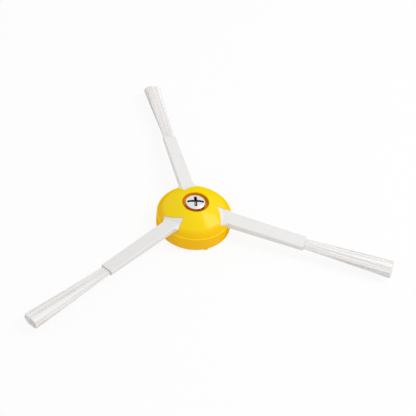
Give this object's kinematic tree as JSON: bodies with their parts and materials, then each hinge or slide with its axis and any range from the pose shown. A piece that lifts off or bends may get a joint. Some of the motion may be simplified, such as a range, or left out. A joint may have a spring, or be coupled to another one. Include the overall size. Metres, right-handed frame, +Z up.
{
  "type": "robot vacuum side brush",
  "caption": "Side brush of a robot vacuum cleaner: a round domed hub with a screw at its centre and soft arms that end in fanned bristle tufts, spun to sweep dirt from edges.",
  "frame": {"origin": "on the hub's axis, at the mouth of the drive socket, in the plane that the hub stands on", "axes": "+Z up along the hub's axis, towards the screw's head; the first arm points along +Y and the others follow at equal angles"},
  "size_m": [0.1488, 0.1293, 0.0139],
  "materials": {
    "yellow_plastic": "satin moulded plastic",
    "soft_white": "smooth soft moulding",
    "white_bristle": "fine straight filaments",
    "bright_steel": "bright plated"
  },
  "bodies": {
    "root": {"hub": "yellow_plastic", "arm_1": "soft_white", "arm_2": "soft_white", "arm_3": "soft_white", "bristle_tuft_1": "white_bristle", "bristle_tuft_2": "white_bristle", "bristle_tuft_3": "white_bristle", "fixing_screw": "bright_steel"}
  },
  "joints": []
}
